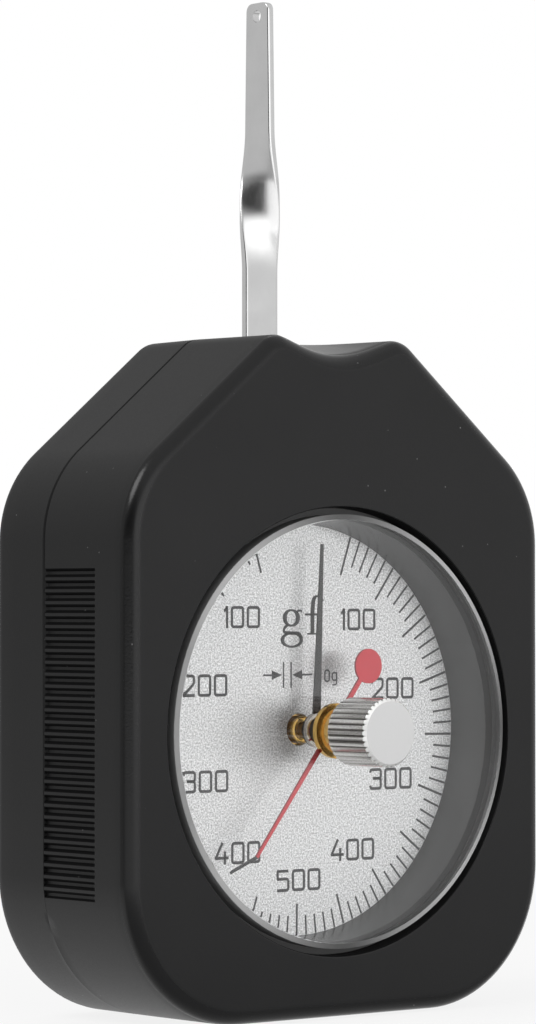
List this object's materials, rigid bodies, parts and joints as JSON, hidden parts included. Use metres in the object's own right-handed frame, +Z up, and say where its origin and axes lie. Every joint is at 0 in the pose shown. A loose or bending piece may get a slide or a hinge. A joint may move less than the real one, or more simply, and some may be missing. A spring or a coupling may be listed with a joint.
{
  "type": "dial tension gauge",
  "caption": "Hand-held dial tension gauge: a twisted feeler swings to either side and turns a needle through a toothed sector; a red memory hand is set back by a knurled knob.",
  "frame": {"origin": "middle of the flat base of the case, on the parting plane of its two halves", "axes": "+X to the right as the dial is read, +Y to the back of the case, +Z up along the feeler at rest"},
  "size_m": [0.06, 0.032, 0.113],
  "materials": {
    "case_black": "fine matt moulding",
    "crystal_clear": "polished",
    "gasket_black": "matt",
    "brass": "turned",
    "steel": "ground",
    "screw_steel": "blued",
    "spring_steel": "tempered",
    "nickel": "bright nickel plate",
    "dial_silver": "fine-grained silver with dark print",
    "needle_black": "matt",
    "hand_red": "satin"
  },
  "bodies": {
    "case": {"front_case": "case_black", "rear_case": "case_black", "case_screws": "screw_steel", "crystal": "crystal_clear", "crystal_gasket": "gasket_black", "crystal_bush": "brass", "dial_plate": "dial_silver", "front_plate": "brass", "rear_plate": "brass", "plate_pillars": "steel", "pillar_screws": "screw_steel", "plate_screws": "screw_steel", "lever_bushes": "brass", "needle_front_bush": "brass", "needle_rear_bush": "brass", "stop_pins": "steel", "main_spring": "spring_steel", "spring_stud": "steel", "hairspring": "spring_steel", "hairspring_stud": "steel"},
    "lever": {"feeler": "nickel", "lever_hub": "brass", "lever_rivets": "steel", "lever_arbor": "steel", "sector_gear": "brass", "spring_collet": "brass"},
    "needle": {"pinion_arbor": "steel", "needle_hub": "nickel", "needle": "needle_black", "hairspring_collet": "brass"},
    "memory": {"memory_hand": "hand_red", "memory_hub": "nickel", "reset_spindle": "steel", "friction_washer": "brass", "reset_knob": "nickel"}
  },
  "joints": [
    {"name": "lever_swing", "type": "hinge", "parent": "case", "child": "lever", "pos_m": [0, 0, 0.06328], "axis": [0, 1, 0], "range_deg": [-15, 15], "stiffness_Nm_per_rad": 0.9, "deforming": ["main_spring"]},
    {"name": "needle_turn", "type": "hinge", "parent": "case", "child": "needle", "pos_m": [0, 0, 0.0313], "axis": [0, 1, 0], "range_deg": [-180.5, 180.5], "deforming": ["hairspring"]},
    {"name": "memory_turn", "type": "hinge", "parent": "case", "child": "memory", "pos_m": [0, 0, 0.0313], "axis": [0, 1, 0], "range_deg": [-211.5, 137.5]}
  ],
  "couplings": [
    {"joint": "needle_turn", "follows": "lever_swing", "ratio": -12}
  ]
}
